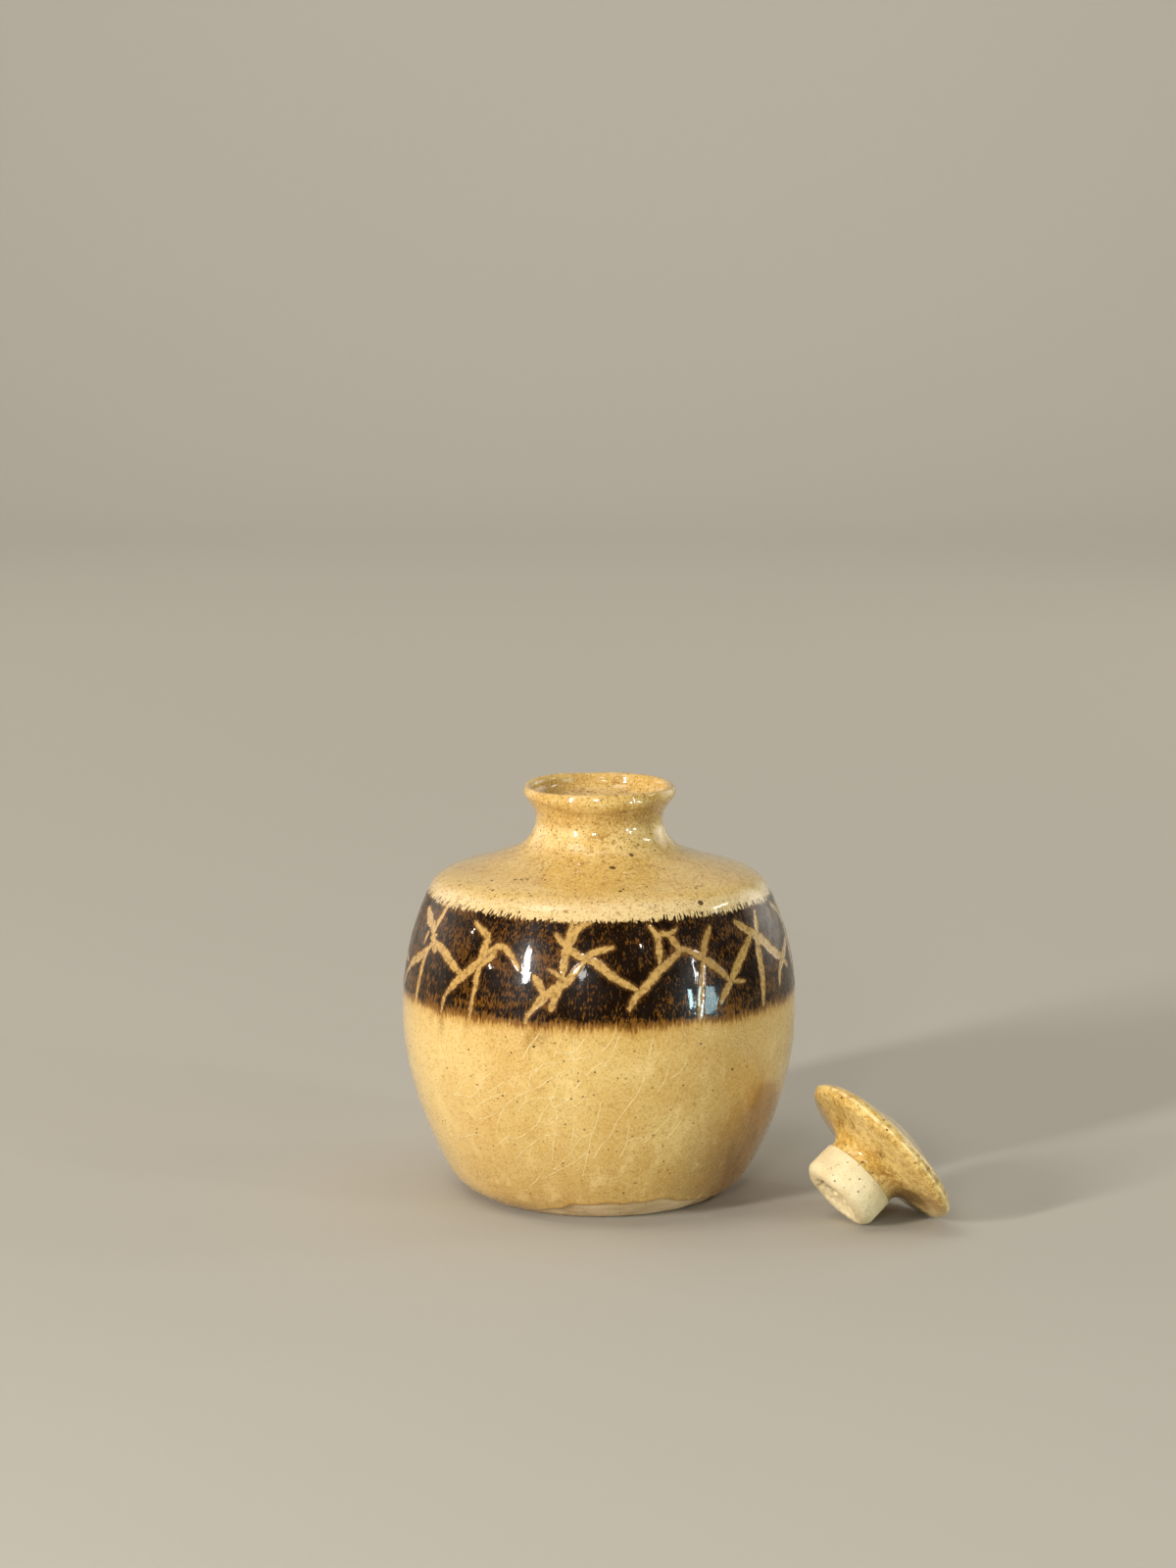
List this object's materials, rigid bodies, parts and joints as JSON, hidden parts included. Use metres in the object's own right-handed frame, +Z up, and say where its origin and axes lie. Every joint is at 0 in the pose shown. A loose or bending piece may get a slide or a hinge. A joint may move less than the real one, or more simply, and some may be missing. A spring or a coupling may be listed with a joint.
{
  "type": "stoppered stoneware jar",
  "caption": "Small thrown stoneware jar with a wide shoulder, a flared neck and a dark hatched band, its mushroom-shaped stopper lying beside it.",
  "frame": {"origin": "centre of the jar's flat foot, on the table", "axes": "+Z up along the jar's axis, -Y the side that the picture shows, +X towards the side where the stopper lies"},
  "size_m": [0.1085, 0.0828, 0.0832],
  "materials": {
    "clay_body": "bare fired stoneware, seen at the foot",
    "belly_glaze": "glossy straw glaze with fine crackle and iron specks",
    "iron_band": "glossy dark iron slip with hatched strokes left pale",
    "shoulder_glaze": "glossy straw glaze, creamy along the shoulder's edge",
    "liner_glaze": "glossy straw glaze",
    "stopper_clay": "bare cream clay, matt",
    "stopper_glaze": "glossy honey glaze, darker where it pools"
  },
  "bodies": {
    "jar": {"clay_body": "clay_body", "belly_glaze": "belly_glaze", "iron_band": "iron_band", "shoulder_glaze": "shoulder_glaze", "liner_glaze": "liner_glaze"},
    "stopper": {"stopper_clay": "stopper_clay", "stopper_glaze": "stopper_glaze"}
  },
  "joints": [
    {"name": "stopper_lift", "type": "slide", "parent": "jar", "child": "stopper", "axis": [0, 0, 1], "range_m": [0, 0.1]}
  ]
}
